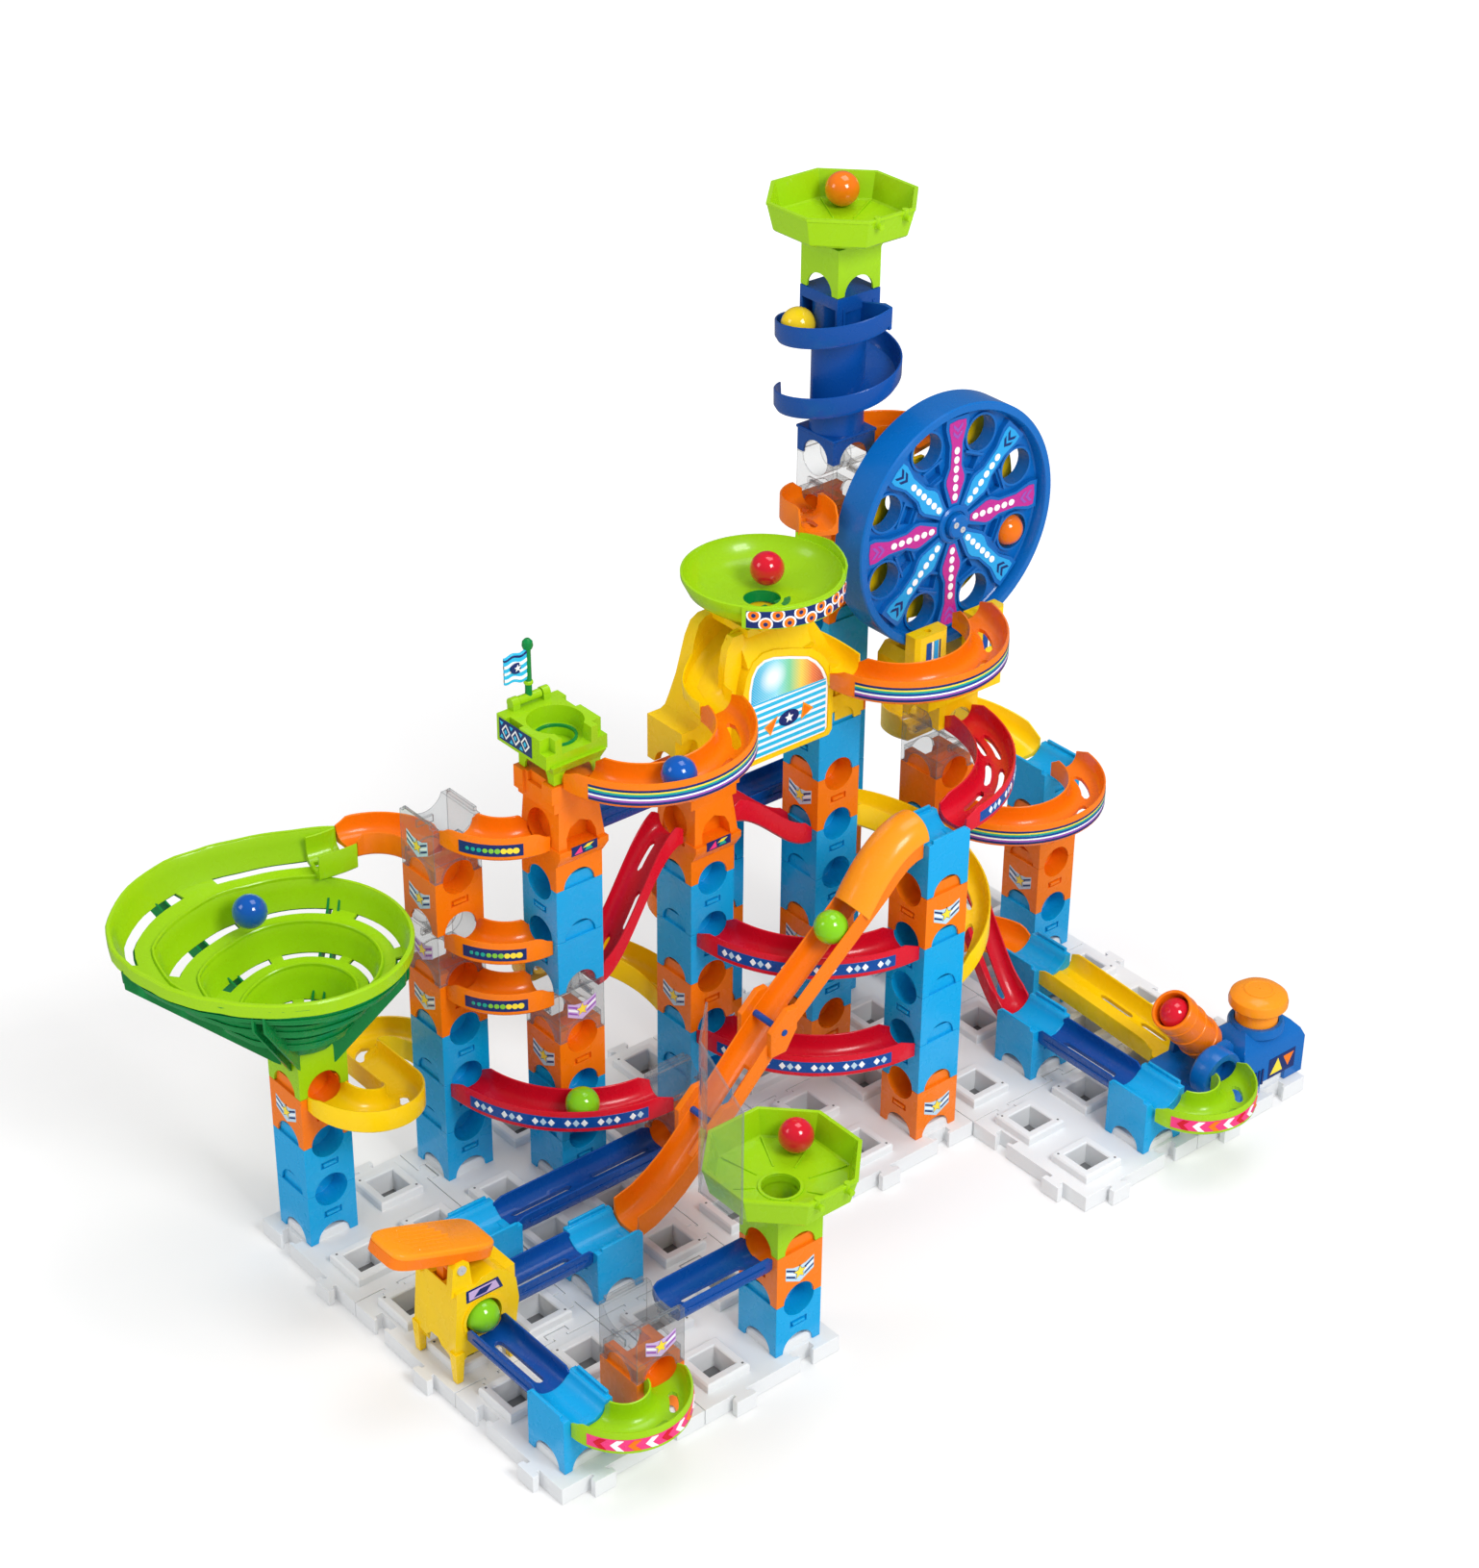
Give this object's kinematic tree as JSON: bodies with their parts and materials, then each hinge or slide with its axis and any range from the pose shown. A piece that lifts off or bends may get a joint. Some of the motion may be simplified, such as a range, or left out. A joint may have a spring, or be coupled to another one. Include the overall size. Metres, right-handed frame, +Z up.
{
  "type": "marble run tower set",
  "caption": "Modular marble run of stacked blocks on a jigsaw base, with curved tracks, a spiral funnel, octagonal basins, a ball wheel, a bowl, a press launcher and a tilting cannon.",
  "frame": {"origin": "underside of the base sheet, at the centre of its footprint", "axes": "+Z up; +Y along the long side of the base, from the funnel towards the ball wheel; +X towards the side the catch basin stands on"},
  "size_m": [0.483, 0.8125, 0.6806],
  "materials": {
    "blue": "gloss",
    "clear": "gloss",
    "lime": "gloss",
    "marble_green": "gloss",
    "marble_orange": "gloss",
    "navy": "gloss",
    "orange": "gloss",
    "red": "gloss",
    "white": "satin",
    "yellow": "gloss"
  },
  "bodies": {
    "run": {"base_sheet": "white", "cannon_body": "navy", "catch_basin": "lime", "catch_shield": "clear", "chute_long": "orange", "chute_s_front": "red", "chute_s_rear": "red", "chute_steep": "red", "curve_double": "yellow", "curve_drop_front": "yellow", "curve_drop_middle": "yellow", "curve_drop_rear": "yellow", "curve_long_front": "red", "curve_long_lower": "red", "curve_long_rear": "red", "curve_long_upper": "red", "curve_s_bowl": "orange", "curve_small_low": "orange", "curve_small_middle": "orange", "curve_small_top": "orange", "curve_wide_corner": "orange", "curve_wide_front": "orange", "curve_wide_wheel": "orange", "flag_box": "lime", "inlet_curve": "orange", "launcher_body": "yellow", "light_unit": "yellow", "line_cannon": "yellow", "line_front": "navy", "line_middle": "navy", "line_rear": "navy", "line_yellow_gate": "navy", "return_cannon": "lime", "return_front": "lime", "spiral_funnel": "lime", "splitter_front": "clear", "splitter_rear": "clear", "swirl_bowl": "lime", "tall_spiral": "navy", "top_basin": "lime", "tower_catch": "orange", "tower_chute": "blue", "tower_clear_top": "orange", "tower_corner": "blue", "tower_flag": "blue", "tower_funnel": "blue", "tower_light": "blue", "tower_rear": "orange", "tower_slide": "blue", "tower_tall": "orange", "tower_wheel": "orange", "wheel_feed": "orange", "wheel_stand": "yellow"},
    "wheel": {"ball_wheel": "navy", "marble_in_wheel": "marble_orange"},
    "flag_arm": {"flag": "lime"},
    "paddle": {"launcher_paddle": "orange"},
    "button": {"cannon_button": "orange"},
    "barrel": {"cannon_barrel": "orange"},
    "rolling_marble": {"marble_on_rail": "marble_green"}
  },
  "joints": [
    {"name": "wheel_spin", "type": "hinge", "parent": "run", "child": "wheel", "pos_m": [-0.094, 0.21, 0.432], "axis": [1, 0, 0], "continuous": true},
    {"name": "flag_fold", "type": "hinge", "parent": "run", "child": "flag_arm", "pos_m": [-0.124, -0.15, 0.3957], "axis": [0, 1, 0], "range_deg": [-70, 0]},
    {"name": "paddle_press", "type": "hinge", "parent": "run", "child": "paddle", "pos_m": [0.03, -0.344, 0.105], "axis": [1, 0, 0], "range_deg": [0, 15]},
    {"name": "button_press", "type": "slide", "parent": "run", "child": "button", "axis": [0, 0, -1], "range_m": [0, 0.008]},
    {"name": "barrel_tilt", "type": "hinge", "parent": "run", "child": "barrel", "pos_m": [0.137, 0.285, 0.057], "axis": [1, 0, 0], "range_deg": [-8, 8]},
    {"name": "marble_roll", "type": "slide", "parent": "run", "child": "rolling_marble", "axis": [1, 0, 0], "range_m": [0, 0.06]}
  ]
}
